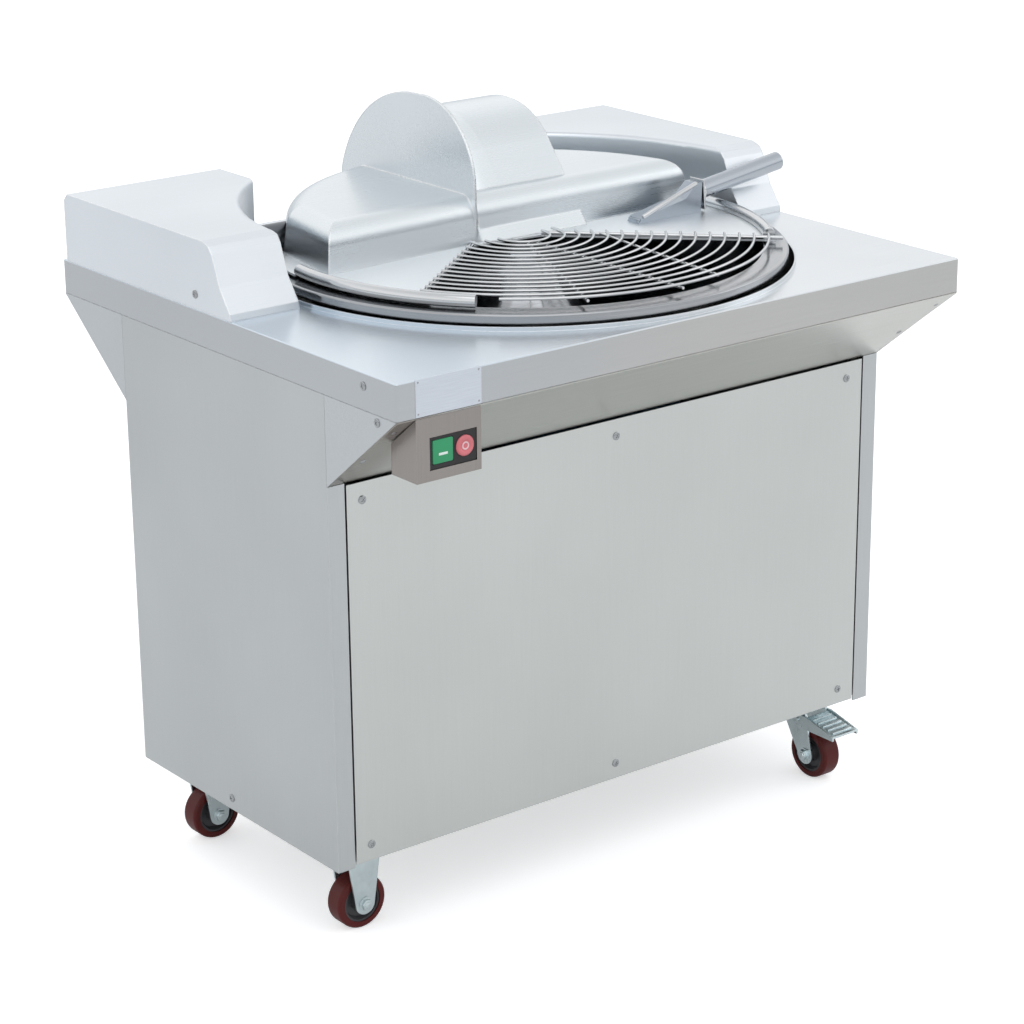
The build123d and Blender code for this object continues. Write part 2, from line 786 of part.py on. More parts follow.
def hood_section(z, inset):
    """Outline at one height: front bent at the cover, back arc about the bowl, flat left end."""
    reach = hood_radius - inset
    (left_x, left_y), (bend_x, bend_y) = hood_front
    front = bend_y + inset
    right_x = bowl_x + sqrt(reach**2 - (front - bowl_y) ** 2)
    end_x = hood_left_end[0] + inset
    end_y = bowl_y + sqrt(reach**2 - (end_x - bowl_x) ** 2)
    corner = (left_x + inset, left_y + inset)
    with BuildSketch(Plane.XY.offset(z)) as section:
        with BuildLine():
            Line(corner, (bend_x, front))
            Line((bend_x, front), (right_x, front))
            ThreePointArc((right_x, front), (bowl_x, bowl_y + reach), (end_x, end_y))
            Line((end_x, end_y), corner)
        make_face()
    return section.sketch


def hood_form(inset):
    """The hood up to the start of its top bend, then the bend as a smooth loft."""
    drop = 1 if inset else 0
    bend = hood_bend - inset
    bend_z = hood_top_z - hood_bend
    lean = (bend_z - lid_z) * tan(radians(hood_slope))
    with BuildPart() as form:
        loft([hood_section(lid_z - drop, inset), hood_section(bend_z, inset + lean)])
        rolls = []
        for angle in (0, 30, 60, 90):
            turn = radians(angle)
            rolls.append(hood_section(bend_z + bend * sin(turn), inset + lean + bend * (1 - cos(turn))))
        loft(rolls)
    return form


# The cover's outline runs from a full disc on the left down to a lower drum on the right.
cover_steps = ((0, 0), (4, 0.30), (16, 0.66), (38, 0.92), (70, 1))
disc_points = (
    (18, lid_z), (22, 985), (66, 1062), (158, 1088), (276, 1054), (356, 946), (356, lid_z),
)
drum_points = (
    (5, lid_z), (96, 1008), (134, 1039), (186, 1053), (298, 1018), (349, 920), (351, lid_z),
)


def cover_section(x, blend, inset):
    points = [
        (d[0] * (1 - blend) + a[0] * blend, d[1] * (1 - blend) + a[1] * blend)
        for d, a in zip(disc_points, drum_points)
    ]
    if inset:
        tilt = inset * 0.75
        shift = (
            (inset, -1), (inset * 0.9, -inset * 0.6), (tilt, -tilt), (0, -inset),
            (-tilt, -tilt), (-inset, 0), (-inset, -1),
        )
        points = [(y + dy, z + dz) for (y, z), (dy, dz) in zip(points, shift)]
    foot_front, crease, shoulder, top, back_shoulder, back, foot_back = points
    with BuildSketch(across(x)) as section:
        with BuildLine():
            Line(foot_front, crease)
            ThreePointArc(crease, shoulder, top)
            ThreePointArc(top, back_shoulder, back)
            Line(back, foot_back)
            Line(foot_back, foot_front)
        make_face()
    return section.sketch


def cover_form(inset):
    rim_x = cover_left + 4
    with BuildPart() as form:
        extrude(cover_section(cover_left + inset, 0, inset), amount=4)
        loft([cover_section(rim_x + step + inset, blend, inset) for step, blend in cover_steps])
        drum_x = rim_x + cover_steps[-1][0] + inset
        extrude(cover_section(drum_x, 1, inset), amount=cover_right - drum_x - inset)
    return form


strap_width = 24
with BuildPart() as lid_hood:
    add(hood_form(0).part)
    add(cover_form(0).part)
    for x in hinge_x:
        with BuildSketch(across(x - strap_width / 2)):
            with Locations((hinge_y, hinge_z)):
                Circle(12)
            with Locations(((hinge_y + 290) / 2, lid_z + 10)):
                Rectangle(hinge_y - 290, 20)
        extrude(amount=strap_width)
    add(hood_form(sheet).part, mode=Mode.SUBTRACT)
    add(cover_form(sheet).part, mode=Mode.SUBTRACT)
    with Locations((hood_left_end[0] + 12, spindle_y + 3, spindle_z - 2)):
        Box(90, 58, 52, mode=Mode.SUBTRACT)
    for x in hinge_x:
        with BuildSketch(across(x - strap_width / 2)):
            with Locations((hinge_y, hinge_z)):
                Circle(6 + running_gap)
        extrude(amount=strap_width, mode=Mode.SUBTRACT)
lid_hood.part.label = "lid_hood"
export_step(lid_hood.part, "parts/lid_hood.step")

# Lid edge tube: a round border along the plate's rim on both sides of the guard. The plate is
# cut back to the tube's inner side, where the two are welded.
tube_z = bowl_rim_z + 1.5 + lid_tube_diameter / 2
edge_arcs = ((172, 222), (-37, 4))


def edge_notch(start, end):
    """Ring sector taken from the plate's rim for one length of tube."""
    tube_mean = lid_radius - lid_tube_diameter / 2
    rise = tube_z - lid_z
    inner = tube_mean - sqrt((lid_tube_diameter / 2) ** 2 - rise**2) - 0.1
    turn = radians(start)
    radial = Plane(
        origin=(bowl_x, bowl_y, 0), x_dir=(cos(turn), sin(turn), 0), z_dir=(sin(turn), -cos(turn), 0),
    )
    with BuildPart() as notch:
        with BuildSketch(radial):
            with Locations(((inner + lid_radius + 4) / 2, lid_z - lid_sheet / 2)):
                Rectangle(lid_radius + 4 - inner, lid_sheet + 2)
        revolve(axis=bowl_axis, revolution_arc=end - start)
    return notch.part


# Lid plate: flat sheet over the bowl, cut away under the hood and for the wire guard.
guard_left = ((-52, 14), (-274, -164))
guard_right = ((60, -1), (308, -249))
wire_diameter = 4
bar_diameter = 6
plate_low = lid_z - lid_sheet
with BuildPart() as lid_plate:
    with BuildSketch(Plane.XY.offset(plate_low)):
        with Locations((bowl_x, bowl_y)):
            Circle(lid_radius)
        add(hood_section(0, 16), mode=Mode.SUBTRACT)
        with Locations((10, spindle_y + 1)):
            Rectangle(120, 318, mode=Mode.SUBTRACT)
        with Locations((-300, spindle_y + 3)):
            Rectangle(200, 58, mode=Mode.SUBTRACT)
        with BuildLine():
            Polyline(
                guard_left[0],
                guard_left[1],
                (guard_left[1][0] - 80, -500),
                (500, -500),
                (guard_right[1][0] + 60, guard_right[1][1] - 60),
                guard_right[0],
                close=True,
            )
        make_face(mode=Mode.SUBTRACT)
    extrude(amount=lid_sheet)
    for start, end in edge_arcs:
        add(edge_notch(start, end), mode=Mode.SUBTRACT)
lid_plate.part.label = "lid_plate"
export_step(lid_plate.part, "parts/lid_plate.step")

def arc_tube(radius, diameter, z, start, end):
    """Round bar bent about the bowl's centre, from one angle to another."""
    turn = radians(start)
    start_plane = Plane(
        origin=(bowl_x + radius * cos(turn), bowl_y + radius * sin(turn), z),
        x_dir=(cos(turn), sin(turn), 0),
        z_dir=(sin(turn), -cos(turn), 0),
    )
    with BuildPart() as piece:
        with BuildSketch(start_plane):
            Circle(diameter / 2)
        revolve(axis=bowl_axis, revolution_arc=end - start)
    return piece.part


with BuildPart() as lid_edge_tube:
    for start, end in edge_arcs:
        add(arc_tube(lid_radius - lid_tube_diameter / 2, lid_tube_diameter, tube_z, start, end))
lid_edge_tube.part.label = "lid_edge_tube"
export_step(lid_edge_tube.part, "parts/lid_edge_tube.step")

# Wire guard: bars from the cover out to the rim carry rings bent about the bowl's centre.
ring_count = 16
ring_gap = 21
ring_radii = [40 + index * ring_gap for index in range(ring_count)]
inner_sweep = (-188, 8)
rim_ring_start = -133
bar_z = lid_z + bar_diameter / 2
under_ring_z = lid_z + bar_diameter - wire_diameter / 2
ring_z = lid_z + bar_diameter + wire_diameter / 2
middle_bars = (-114, -91)
chord_bar = ((120, -60), (92, -352))


def bar_between(start, end, diameter, z):
    run = Vector(end[0] - start[0], end[1] - start[1], 0)
    with BuildPart() as piece:
        with BuildSketch(Plane(origin=(*start, z), z_dir=run)):
            Circle(diameter / 2)
        extrude(amount=run.length)
    return piece.part


def crossing_angle(line, radius):
    """Angle about the bowl's centre at which a guard bar crosses a ring."""
    (x1, y1), (x2, y2) = line
    fractions = [step / 400 for step in range(401)]
    points = [(x1 + (x2 - x1) * f - bowl_x, y1 + (y2 - y1) * f - bowl_y) for f in fractions]
    near = min(points, key=lambda p: abs(sqrt(p[0] ** 2 + p[1] ** 2) - radius))
    angle = degrees(atan2(near[1], near[0]))
    return angle - 360 if angle > 90 else angle


with BuildPart() as guard_bars:
    add(bar_between(*guard_left, bar_diameter, bar_z))
    add(bar_between(*guard_right, bar_diameter, bar_z))
    for angle in middle_bars:
        turn = radians(angle)
        inner = (bowl_x + 36 * cos(turn), bowl_y + 36 * sin(turn))
        outer = (bowl_x + 362 * cos(turn), bowl_y + 362 * sin(turn))
        add(bar_between(inner, outer, wire_diameter, under_ring_z))
    add(bar_between(*chord_bar, wire_diameter, under_ring_z))
guard_bars.part.label = "guard_bars"
export_step(guard_bars.part, "parts/guard_bars.step")

with BuildPart() as guard_rings:
    for radius in ring_radii:
        inside_bars = radius < sqrt((guard_left[0][0] - bowl_x) ** 2 + (guard_left[0][1] - bowl_y) ** 2)
        start = inner_sweep[0] if inside_bars else crossing_angle(guard_left, radius)
        end = inner_sweep[1] if inside_bars else crossing_angle(guard_right, radius)
        start = rim_ring_start if radius == ring_radii[-1] else start
        add(arc_tube(radius, wire_diameter, ring_z, start, end))
guard_rings.part.label = "guard_rings"
export_step(guard_rings.part, "parts/guard_rings.step")

# Lid handle: a folded bracket on the plate with a round steel grip that slopes up outwards.
grip_start = (338, -30, 921)
grip_end = (498, -30, 944)
grip_diameter = 28
with BuildPart() as handle_bracket:
    with BuildSketch(Plane.XZ.offset(-grip_start[1] + 14)):
        with BuildLine():
            Polyline(
                (210, lid_z), (330, lid_z), (333, 936), (322, 936), (300, 916), (215, 899), close=True
            )
        make_face()
    extrude(amount=-28)
    with BuildSketch(Plane.XZ.offset(-grip_start[1] + 12)):
        with BuildLine():
            Polyline((205, lid_z - 1), (326, lid_z - 1), (326, 926), (300, 913), (205, 896), close=True)
        make_face()
    extrude(amount=-24, mode=Mode.SUBTRACT)
handle_bracket.part.label = "handle_bracket"
export_step(handle_bracket.part, "parts/handle_bracket.step")

grip_run = Vector(*grip_end) - Vector(*grip_start)
with BuildPart() as handle_grip:
    with BuildSketch(Plane(origin=grip_start, z_dir=grip_run)):
        Circle(grip_diameter / 2)
    extrude(amount=grip_run.length)
    fillet(handle_grip.edges().sort_by(Axis.X)[-1], 3)
handle_grip.part.label = "handle_grip"
export_step(handle_grip.part, "parts/handle_grip.step")

# Hinge lugs: clevises bolted to the worktop behind the bowl, and the pins through the straps.
ear = 8
pin_radius = 6
with BuildPart() as hinge_lugs:
    for x in hinge_x:
        with Locations((x, hinge_y + 1, worktop_z + 3)):
            Box(strap_width + 2 * ear + 30, 24, 6)
        for side in (-1, 1):
            ear_x = x + side * (strap_width + ear + 1) / 2
            with BuildSketch(across(ear_x - ear / 2)):
                with Locations((hinge_y, hinge_z)):
                    Circle(13)
                with Locations((hinge_y, (worktop_z + hinge_z) / 2)):
                    Rectangle(26, hinge_z - worktop_z)
                with Locations((hinge_y, hinge_z)):
                    Circle(pin_radius, mode=Mode.SUBTRACT)
            extrude(amount=ear)
hinge_lugs.part.label = "hinge_lugs"
export_step(hinge_lugs.part, "parts/hinge_lugs.step")

with BuildPart() as hinge_pins:
    for x in hinge_x:
        with BuildSketch(across(x - strap_width / 2 - ear - 2)):
            with Locations((hinge_y, hinge_z)):
                Circle(pin_radius)
        extrude(amount=strap_width + 2 * ear + 4)
hinge_pins.part.label = "hinge_pins"
export_step(hinge_pins.part, "parts/hinge_pins.step")

# ======== castors ========================================================================
plate_sheet = 4
plate_size = (95, 70)
leg_gap = wheel_width / 2 + 4
leg_sheet = 3
plate_bottom = cabinet_z - plate_sheet


def castor_leg(x, y, crown_z, trail):
    """One fork leg, tapering from the crown down to the axle."""
    with BuildSketch(Plane(origin=(x, y, 0), x_dir=(1, 0, 0), z_dir=(0, -1, 0))) as leg:
        with BuildLine():
            Polyline(
                (-trail - 29, crown_z), (29 - trail, crown_z), (16, wheel_radius), (-16, wheel_radius),
                close=True,
            )
        make_face()
        with Locations((0, wheel_radius)):
            Circle(16)
    return leg.sketch


with BuildPart() as rigid_forks:
    for y in (castor_front, castor_back):
        with Locations((rigid_castor_x, y, cabinet_z)):
            Box(*plate_size, plate_sheet, align=(Align.CENTER, Align.CENTER, Align.MAX))
        for side in (-1, 1):
            leg_y = y + side * (leg_gap + leg_sheet / 2) + leg_sheet / 2
            extrude(castor_leg(rigid_castor_x, leg_y, plate_bottom, 0), amount=leg_sheet)
        axle_end = leg_gap + leg_sheet + 5
        with BuildSketch(Plane.XZ.offset(-y - axle_end)):
            with Locations((rigid_castor_x, wheel_radius)):
                Circle(axle_radius)
        extrude(amount=2 * axle_end)
rigid_forks.part.label = "rigid_forks"
export_step(rigid_forks.part, "parts/rigid_forks.step")

# Swivel plates: bolted under the tray, each with the round head that the fork turns on.
head_low = 112
with BuildPart() as swivel_plates:
    for y in (castor_front, castor_back):
        with Locations((swivel_x, y, cabinet_z)):
            Box(*plate_size, plate_sheet, align=(Align.CENTER, Align.CENTER, Align.MAX))
        with BuildSketch(Plane.XY.offset(head_low)):
            with Locations((swivel_x, y)):
                Circle(27)
        extrude(amount=plate_bottom - head_low)
swivel_plates.part.label = "swivel_plates"
export_step(swivel_plates.part, "parts/swivel_plates.step")

wheel_axle_x = swivel_x + swivel_trail
crown_top = head_low - 0.4
crown_sheet = 5
pedal_x = swivel_x + 16
pedal_end = swivel_x + 96
pedal_z = 96
pedal_pin_radius = 3
pedal_gap = 1
pedal_sheet = 3


def swivel_fork(y):
    with BuildPart() as piece:
        with BuildSketch(Plane.XY.offset(crown_top - crown_sheet)):
            with Locations((swivel_x, y)):
                RectangleRounded(56, 2 * (leg_gap + leg_sheet), 6)
        extrude(amount=crown_sheet)
        for side in (-1, 1):
            leg_y = y + side * (leg_gap + leg_sheet / 2) + leg_sheet / 2
            extrude(castor_leg(wheel_axle_x, leg_y, crown_top - 1, swivel_trail), amount=leg_sheet)
        axle_end = leg_gap + leg_sheet + 5
        with BuildSketch(Plane.XZ.offset(-y - axle_end)):
            with Locations((wheel_axle_x, wheel_radius)):
                Circle(axle_radius)
        extrude(amount=2 * axle_end)
        pin_length = pedal_gap + pedal_sheet + 2
        for side in (-1, 1):
            pin_y = y + side * (leg_gap + leg_sheet + pin_length / 2) + pin_length / 2
            with BuildSketch(Plane.XZ.offset(-pin_y)):
                with Locations((pedal_x, pedal_z)):
                    Circle(pedal_pin_radius)
            extrude(amount=pin_length)
    return piece


def brake_pedal(y):
    """Pressed lever across the fork: arms pinned outside the legs, a tread beyond the wheel."""
    reach = leg_gap + leg_sheet + pedal_gap
    with BuildPart() as piece:
        for side in (-1, 1):
            with BuildSketch(Plane.XZ.offset(-y - side * (reach + pedal_sheet / 2) - pedal_sheet / 2)):
                with BuildLine():
                    Polyline(
                        (pedal_x, pedal_z - 9), (pedal_x + 20, pedal_z - 12), (pedal_end, pedal_z - 12),
                        (pedal_end, pedal_z - 5), (pedal_x + 20, pedal_z + 9), (pedal_x, pedal_z + 9),
                        close=True,
                    )
                make_face()
                with Locations((pedal_x, pedal_z)):
                    Circle(9)
                    Circle(pedal_pin_radius + running_gap, mode=Mode.SUBTRACT)
            extrude(amount=pedal_sheet)
        with BuildSketch(Plane.XZ.offset(-y - reach)):
            with BuildLine():
                Polyline(
                    (pedal_x + 16, pedal_z + 4), (pedal_end, pedal_z - 8),
                    (pedal_end, pedal_z - 5), (pedal_x + 16, pedal_z + 7),
                    close=True,
                )
            make_face()
        extrude(amount=2 * reach)
    return piece


def hub(x, y):
    with BuildPart() as piece:
        with BuildSketch(Plane(origin=(x, 0, wheel_radius), x_dir=(0, 1, 0), z_dir=(0, 0, 1))):
            with BuildLine():
                Polyline(
                    (y - wheel_width / 2 - 2, axle_radius + running_gap),
                    (y - wheel_width / 2 - 2, 12), (y - 7, 15), (y - 7, 24), (y - 14, 27),
                    (y - 14, tyre_bore_radius), (y + 14, tyre_bore_radius), (y + 14, 27), (y + 7, 24), (y + 7, 15),
                    (y + wheel_width / 2 + 2, 12),
                    (y + wheel_width / 2 + 2, axle_radius + running_gap),
                    close=True,
                )
            make_face()
        revolve(axis=Axis((x, 0, wheel_radius), (0, 1, 0)))
    return piece


def tyre(x, y):
    with BuildPart() as piece:
        with BuildSketch(Plane(origin=(x, y, wheel_radius), x_dir=(1, 0, 0), z_dir=(0, -1, 0))):
            Circle(wheel_radius)
            Circle(tyre_bore_radius, mode=Mode.SUBTRACT)
        extrude(amount=wheel_width / 2, both=True)
        fillet(piece.edges().filter_by(GeomType.CIRCLE).group_by(SortBy.RADIUS)[-1], 5)
    return piece


# The fixed castors roll forwards. The swivel castors are made the same way round, then turned
# about their heads, so that they trail towards the front with the pedal out.
castor_pieces = {}
for place, y in (("front_left", castor_front), ("rear_left", castor_back)):
    castor_pieces[f"{place}_hub"] = hub(rigid_castor_x, y).part
    castor_pieces[f"{place}_tyre"] = tyre(rigid_castor_x, y).part
for place, y in (("front_right", castor_front), ("rear_right", castor_back)):
    head_axis = Axis((swivel_x, y, 0), (0, 0, 1))
    castor_pieces[f"{place}_fork"] = swivel_fork(y).part.rotate(head_axis, swivel_turn)
    castor_pieces[f"{place}_brake_pedal"] = brake_pedal(y).part.rotate(head_axis, swivel_turn)
    castor_pieces[f"{place}_hub"] = hub(wheel_axle_x, y).part.rotate(head_axis, swivel_turn)
    castor_pieces[f"{place}_tyre"] = tyre(wheel_axle_x, y).part.rotate(head_axis, swivel_turn)
for name, piece in castor_pieces.items():
    piece.label = name
    export_step(piece, f"parts/{name}.step")
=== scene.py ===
import math

import bpy
from mathutils import Matrix, Vector


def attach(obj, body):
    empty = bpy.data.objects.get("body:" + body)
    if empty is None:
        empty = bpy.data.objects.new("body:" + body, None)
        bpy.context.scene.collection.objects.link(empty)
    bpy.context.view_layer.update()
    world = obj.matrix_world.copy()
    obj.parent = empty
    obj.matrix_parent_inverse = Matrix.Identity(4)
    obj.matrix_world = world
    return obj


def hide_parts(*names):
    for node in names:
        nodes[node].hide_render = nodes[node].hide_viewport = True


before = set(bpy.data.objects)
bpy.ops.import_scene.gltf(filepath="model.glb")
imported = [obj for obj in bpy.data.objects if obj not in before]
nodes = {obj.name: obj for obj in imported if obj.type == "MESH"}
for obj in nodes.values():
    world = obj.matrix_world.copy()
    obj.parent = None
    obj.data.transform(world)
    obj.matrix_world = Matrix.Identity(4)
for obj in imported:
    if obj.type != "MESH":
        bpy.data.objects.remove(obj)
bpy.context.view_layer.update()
scene = bpy.context.scene

# ---- worktop ----
# The top is one sheet of 2 mm stainless steel with a folded rim all round and a large hole for
# the bowl. The sheet is ground in long strokes from left to right and then polished, so it
# mirrors softly along its length.


def new_group(name, inputs, outputs):
    """A shader node group with named inputs (name, kind, value) and outputs (name, kind)."""
    group = bpy.data.node_groups.new(name, "ShaderNodeTree")
    for label, kind, value in inputs:
        socket = group.interface.new_socket(name=label, in_out="INPUT", socket_type=kind)
        if value is not None:
            socket.default_value = value
    for label, kind in outputs:
        group.interface.new_socket(name=label, in_out="OUTPUT", socket_type=kind)
    start = group.nodes.new("NodeGroupInput")
    end = group.nodes.new("NodeGroupOutput")
    return group, start.outputs, end.inputs


def node(tree, kind, values=None, **settings):
    """Adds a node, sets its properties, and fills or links its inputs."""
    made = tree.nodes.new(kind)
    for key, value in settings.items():
        setattr(made, key, value)
    for key, value in (values or {}).items():
        if isinstance(value, bpy.types.NodeSocket):
            tree.links.new(value, made.inputs[key])
        else:
            made.inputs[key].default_value = value
    return made


def calc(tree, operation, first, second):
    """One sum with two numbers."""
    return node(tree, "ShaderNodeMath", {0: first, 1: second}, operation=operation).outputs[0]


def noise(tree, place, scale, detail, roughness=0.5):
    """Soft uneven patches between 0 and 1."""
    made = node(
        tree, "ShaderNodeTexNoise",
        {"Vector": place, "Scale": scale, "Detail": detail, "Roughness": roughness},
    )
    return made.outputs["Fac"]


def scaled(tree, value, low, high, at_low, at_high, **settings):
    """Carries the value over from the range low to high to the range at_low to at_high."""
    made = node(
        tree, "ShaderNodeMapRange",
        {"Value": value, "From Min": low, "From Max": high, "To Min": at_low, "To Max": at_high},
        **settings,
    )
    return made.outputs[0]


def mixed(tree, share, first, second, blend_type="MIX"):
    """Two colours mixed by the share of the second."""
    made = node(
        tree, "ShaderNodeMix", {"Factor": share, "A": first, "B": second},
        data_type="RGBA", blend_type=blend_type,
    )
    return made.outputs["Result"]


# Ground metal: fine strokes along the stretched direction, and faint clouds where the sheet
# was polished more.
ground, ground_in, ground_out = new_group(
    "ground_metal",
    [
        ("Strokes", "NodeSocketVector", None),
        ("Place", "NodeSocketVector", None),
        ("Tone", "NodeSocketColor", (0.6, 0.6, 0.6, 1)),
        ("Grain", "NodeSocketFloat", 0.05),
        ("Cloud", "NodeSocketFloat", 0.05),
        ("Rough", "NodeSocketFloat", 0.3),
    ],
    [("Color", "NodeSocketColor"), ("Roughness", "NodeSocketFloat"), ("Height", "NodeSocketFloat")],
)
strokes = noise(ground, ground_in["Strokes"], 1.0, 3.0, 0.6)
clouds = noise(ground, ground_in["Place"], 3.2, 2.0)
stroke_tone = calc(ground, "MULTIPLY", calc(ground, "SUBTRACT", strokes, 0.5), ground_in["Grain"])
cloud_tone = calc(ground, "MULTIPLY", calc(ground, "SUBTRACT", clouds, 0.5), ground_in["Cloud"])
swing = calc(ground, "ADD", stroke_tone, cloud_tone)
toned = node(
    ground, "ShaderNodeVectorMath",
    {0: ground_in["Tone"], "Scale": calc(ground, "ADD", swing, 1.0)}, operation="SCALE",
)
rough = calc(ground, "SUBTRACT", ground_in["Rough"], calc(ground, "MULTIPLY", swing, 0.9))
ground.links.new(toned.outputs[0], ground_out["Color"])
ground.links.new(rough, ground_out["Roughness"])
ground.links.new(strokes, ground_out["Height"])

# Edge wear and painted highlight: a mask that is 1 on rubbed edges and 0 on the open sheet; the
# edges it marks are brightened both as wear and as a painted highlight.
wear_and_highlight_group, wear_and_highlight_in, wear_and_highlight_out = new_group(
    "edge_wear_and_highlight",
    [("Place", "NodeSocketVector", None), ("Width", "NodeSocketFloat", 0.002)],
    [("Mask", "NodeSocketFloat")],
)
rounded = node(wear_and_highlight_group, "ShaderNodeBevel", {"Radius": wear_and_highlight_in["Width"]}, samples=4)
flat = node(wear_and_highlight_group, "ShaderNodeNewGeometry")
agree = node(
    wear_and_highlight_group, "ShaderNodeVectorMath",
    {0: rounded.outputs["Normal"], 1: flat.outputs["Normal"]}, operation="DOT_PRODUCT",
)
edge = scaled(wear_and_highlight_group, agree.outputs["Value"], 0.99, 0.85, 0.0, 1.0)
rubbed = scaled(wear_and_highlight_group, noise(wear_and_highlight_group, wear_and_highlight_in["Place"], 60.0, 3.0), 0.35, 0.65, 0.4, 1.0)
wear_and_highlight_group.links.new(calc(wear_and_highlight_group, "MULTIPLY", edge, rubbed), wear_and_highlight_out["Mask"])


def new_material(name):
    """An empty material with its shader and the object's own coordinates."""
    material = bpy.data.materials.new(name)
    material.use_nodes = True
    tree = material.node_tree
    shader = tree.nodes["Principled BSDF"]
    place = node(tree, "ShaderNodeTexCoord").outputs["Object"]
    return material, tree, shader, place


def grind(tree, shader, place, strokes, tone, rough, grain, cloud, depth, soften=0.0):
    """Makes the material ground metal, rounds its folds by soften, and gives back its colour."""
    metal = node(
        tree, "ShaderNodeGroup",
        {
            "Strokes": strokes, "Place": place, "Tone": (*tone, 1),
            "Grain": grain, "Cloud": cloud, "Rough": rough,
        },
        node_tree=ground,
    )
    tree.links.new(metal.outputs["Roughness"], shader.inputs["Roughness"])
    shader.inputs["Metallic"].default_value = 1.0
    bump = node(
        tree, "ShaderNodeBump", {"Height": metal.outputs["Height"], "Strength": 0.6, "Distance": depth},
    )
    if soften:
        smooth = node(tree, "ShaderNodeBevel", {"Radius": soften}, samples=4)
        tree.links.new(smooth.outputs[0], bump.inputs["Normal"])
    tree.links.new(bump.outputs[0], shader.inputs["Normal"])
    return metal.outputs["Color"]


def ground_steel(name, tone, rough, stretch, grain, cloud, depth=0.00002, soften=0.0, wear_and_highlight=0.0):
    """Sheet metal ground along one axis, its folds rounded by soften and its edges brightened, as wear
    and as a painted highlight.
    """
    material, tree, shader, place = new_material(name)
    strokes = node(tree, "ShaderNodeMapping", {"Vector": place, "Scale": stretch}).outputs[0]
    color = grind(tree, shader, place, strokes, tone, rough, grain, cloud, depth, soften)
    # Painted highlight and wear: the marked edges are brightened in the base colour.
    if wear_and_highlight:
        edge = node(tree, "ShaderNodeGroup", {"Place": place, "Width": soften}, node_tree=wear_and_highlight_group)
        bright = (*[min(1.0, level * 1.5) for level in tone], 1)
        color = mixed(tree, calc(tree, "MULTIPLY", edge.outputs["Mask"], wear_and_highlight), color, bright)
    tree.links.new(color, shader.inputs["Base Color"])
    return material


def tone_along(material, axis, low, high, tone):
    """Multiplies the finish by tone before low on the axis, and leaves it as it is after high."""
    tree = material.node_tree
    shader = tree.nodes["Principled BSDF"]
    place = node(tree, "ShaderNodeTexCoord").outputs["Object"]
    split = node(tree, "ShaderNodeSeparateXYZ", {0: place})
    reach = scaled(tree, split.outputs[axis], low, high, 1.0, 0.0, interpolation_type="SMOOTHSTEP")
    before = shader.inputs["Base Color"].links[0].from_socket
    after = mixed(tree, reach, before, (*tone, 1), "MULTIPLY")
    tree.links.new(after, shader.inputs["Base Color"])


def dress(material, *names):
    """Gives CAD nodes their finish."""
    for name in names:
        nodes[name].data.materials.clear()
        nodes[name].data.materials.append(material)


# The number of grinding marks in a metre along a stroke, and across it.
stroke_long, stroke_fine = 9, 700
along_x = (stroke_long, stroke_fine, stroke_fine)
worktop_steel = ground_steel(
    "worktop_steel", (0.68, 0.71, 0.735), 0.24, along_x, grain=0.08, cloud=0.10, soften=0.0015, wear_and_highlight=0.5,
)

# The rim is darker than the polished top, a painted shade, and the left end of the top is bluer, a
# painted reflection.
rim_high, top_sheet = 0.8625, 0.8645
# Painted shade: below the top sheet the rim is darkened.
tone_along(worktop_steel, "Z", rim_high, top_sheet, (0.735, 0.695, 0.66))
# Painted reflection: the left end of the top is tinted blue.
tone_along(worktop_steel, "X", -0.42, 0.05, (0.93, 0.98, 1.03))
dress(worktop_steel, "worktop")

# ---- name plate ----
# A bare aluminium plate with a pressed border, held on the front rim by four rivets over the
# switch box.


def new_box(place, size):
    """A block of the given size about the place, to be shaped further."""
    bpy.ops.object.select_all(action="DESELECT")
    bpy.ops.mesh.primitive_cube_add(size=1, location=place)
    block = bpy.context.object
    block.scale = size
    bpy.ops.object.transform_apply(location=True, rotation=True, scale=True)
    return block


def pick_faces(piece, way):
    """Opens edit mode with only the faces selected that look the given way."""
    bpy.ops.object.mode_set(mode="EDIT")
    bpy.ops.mesh.select_mode(type="FACE")
    bpy.ops.mesh.select_all(action="DESELECT")
    bpy.ops.object.mode_set(mode="OBJECT")
    for face in piece.data.polygons:
        face.select = face.normal.dot(Vector(way)) > 0.9
    bpy.ops.object.mode_set(mode="EDIT")


def inset_faces(piece, way, *steps):
    """Insets the faces that look the given way, once for each thickness and depth."""
    pick_faces(piece, way)
    for thickness, depth in steps:
        bpy.ops.mesh.inset(thickness=thickness, depth=depth)
    bpy.ops.object.mode_set(mode="OBJECT")


def round_edges(piece, width, segments=2):
    """A small bevel on every edge sharper than 30 degrees, then smooth shading."""
    bevel = piece.modifiers.new("bevel", "BEVEL")
    bevel.width = width
    bevel.segments = segments
    bevel.limit_method = "ANGLE"
    bevel.angle_limit = math.radians(30)
    bpy.ops.object.modifier_apply(modifier="bevel")
    bpy.ops.object.shade_smooth_by_angle(angle=math.radians(35))


def finish_piece(name, finish, body):
    """Puts the new piece's place into its mesh, and gives it a name, a finish and a body."""
    piece = bpy.context.object
    bpy.ops.object.transform_apply(location=True, rotation=True, scale=True)
    piece.name = name
    piece.data.materials.clear()
    piece.data.materials.append(finish)
    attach(piece, body)
    return piece


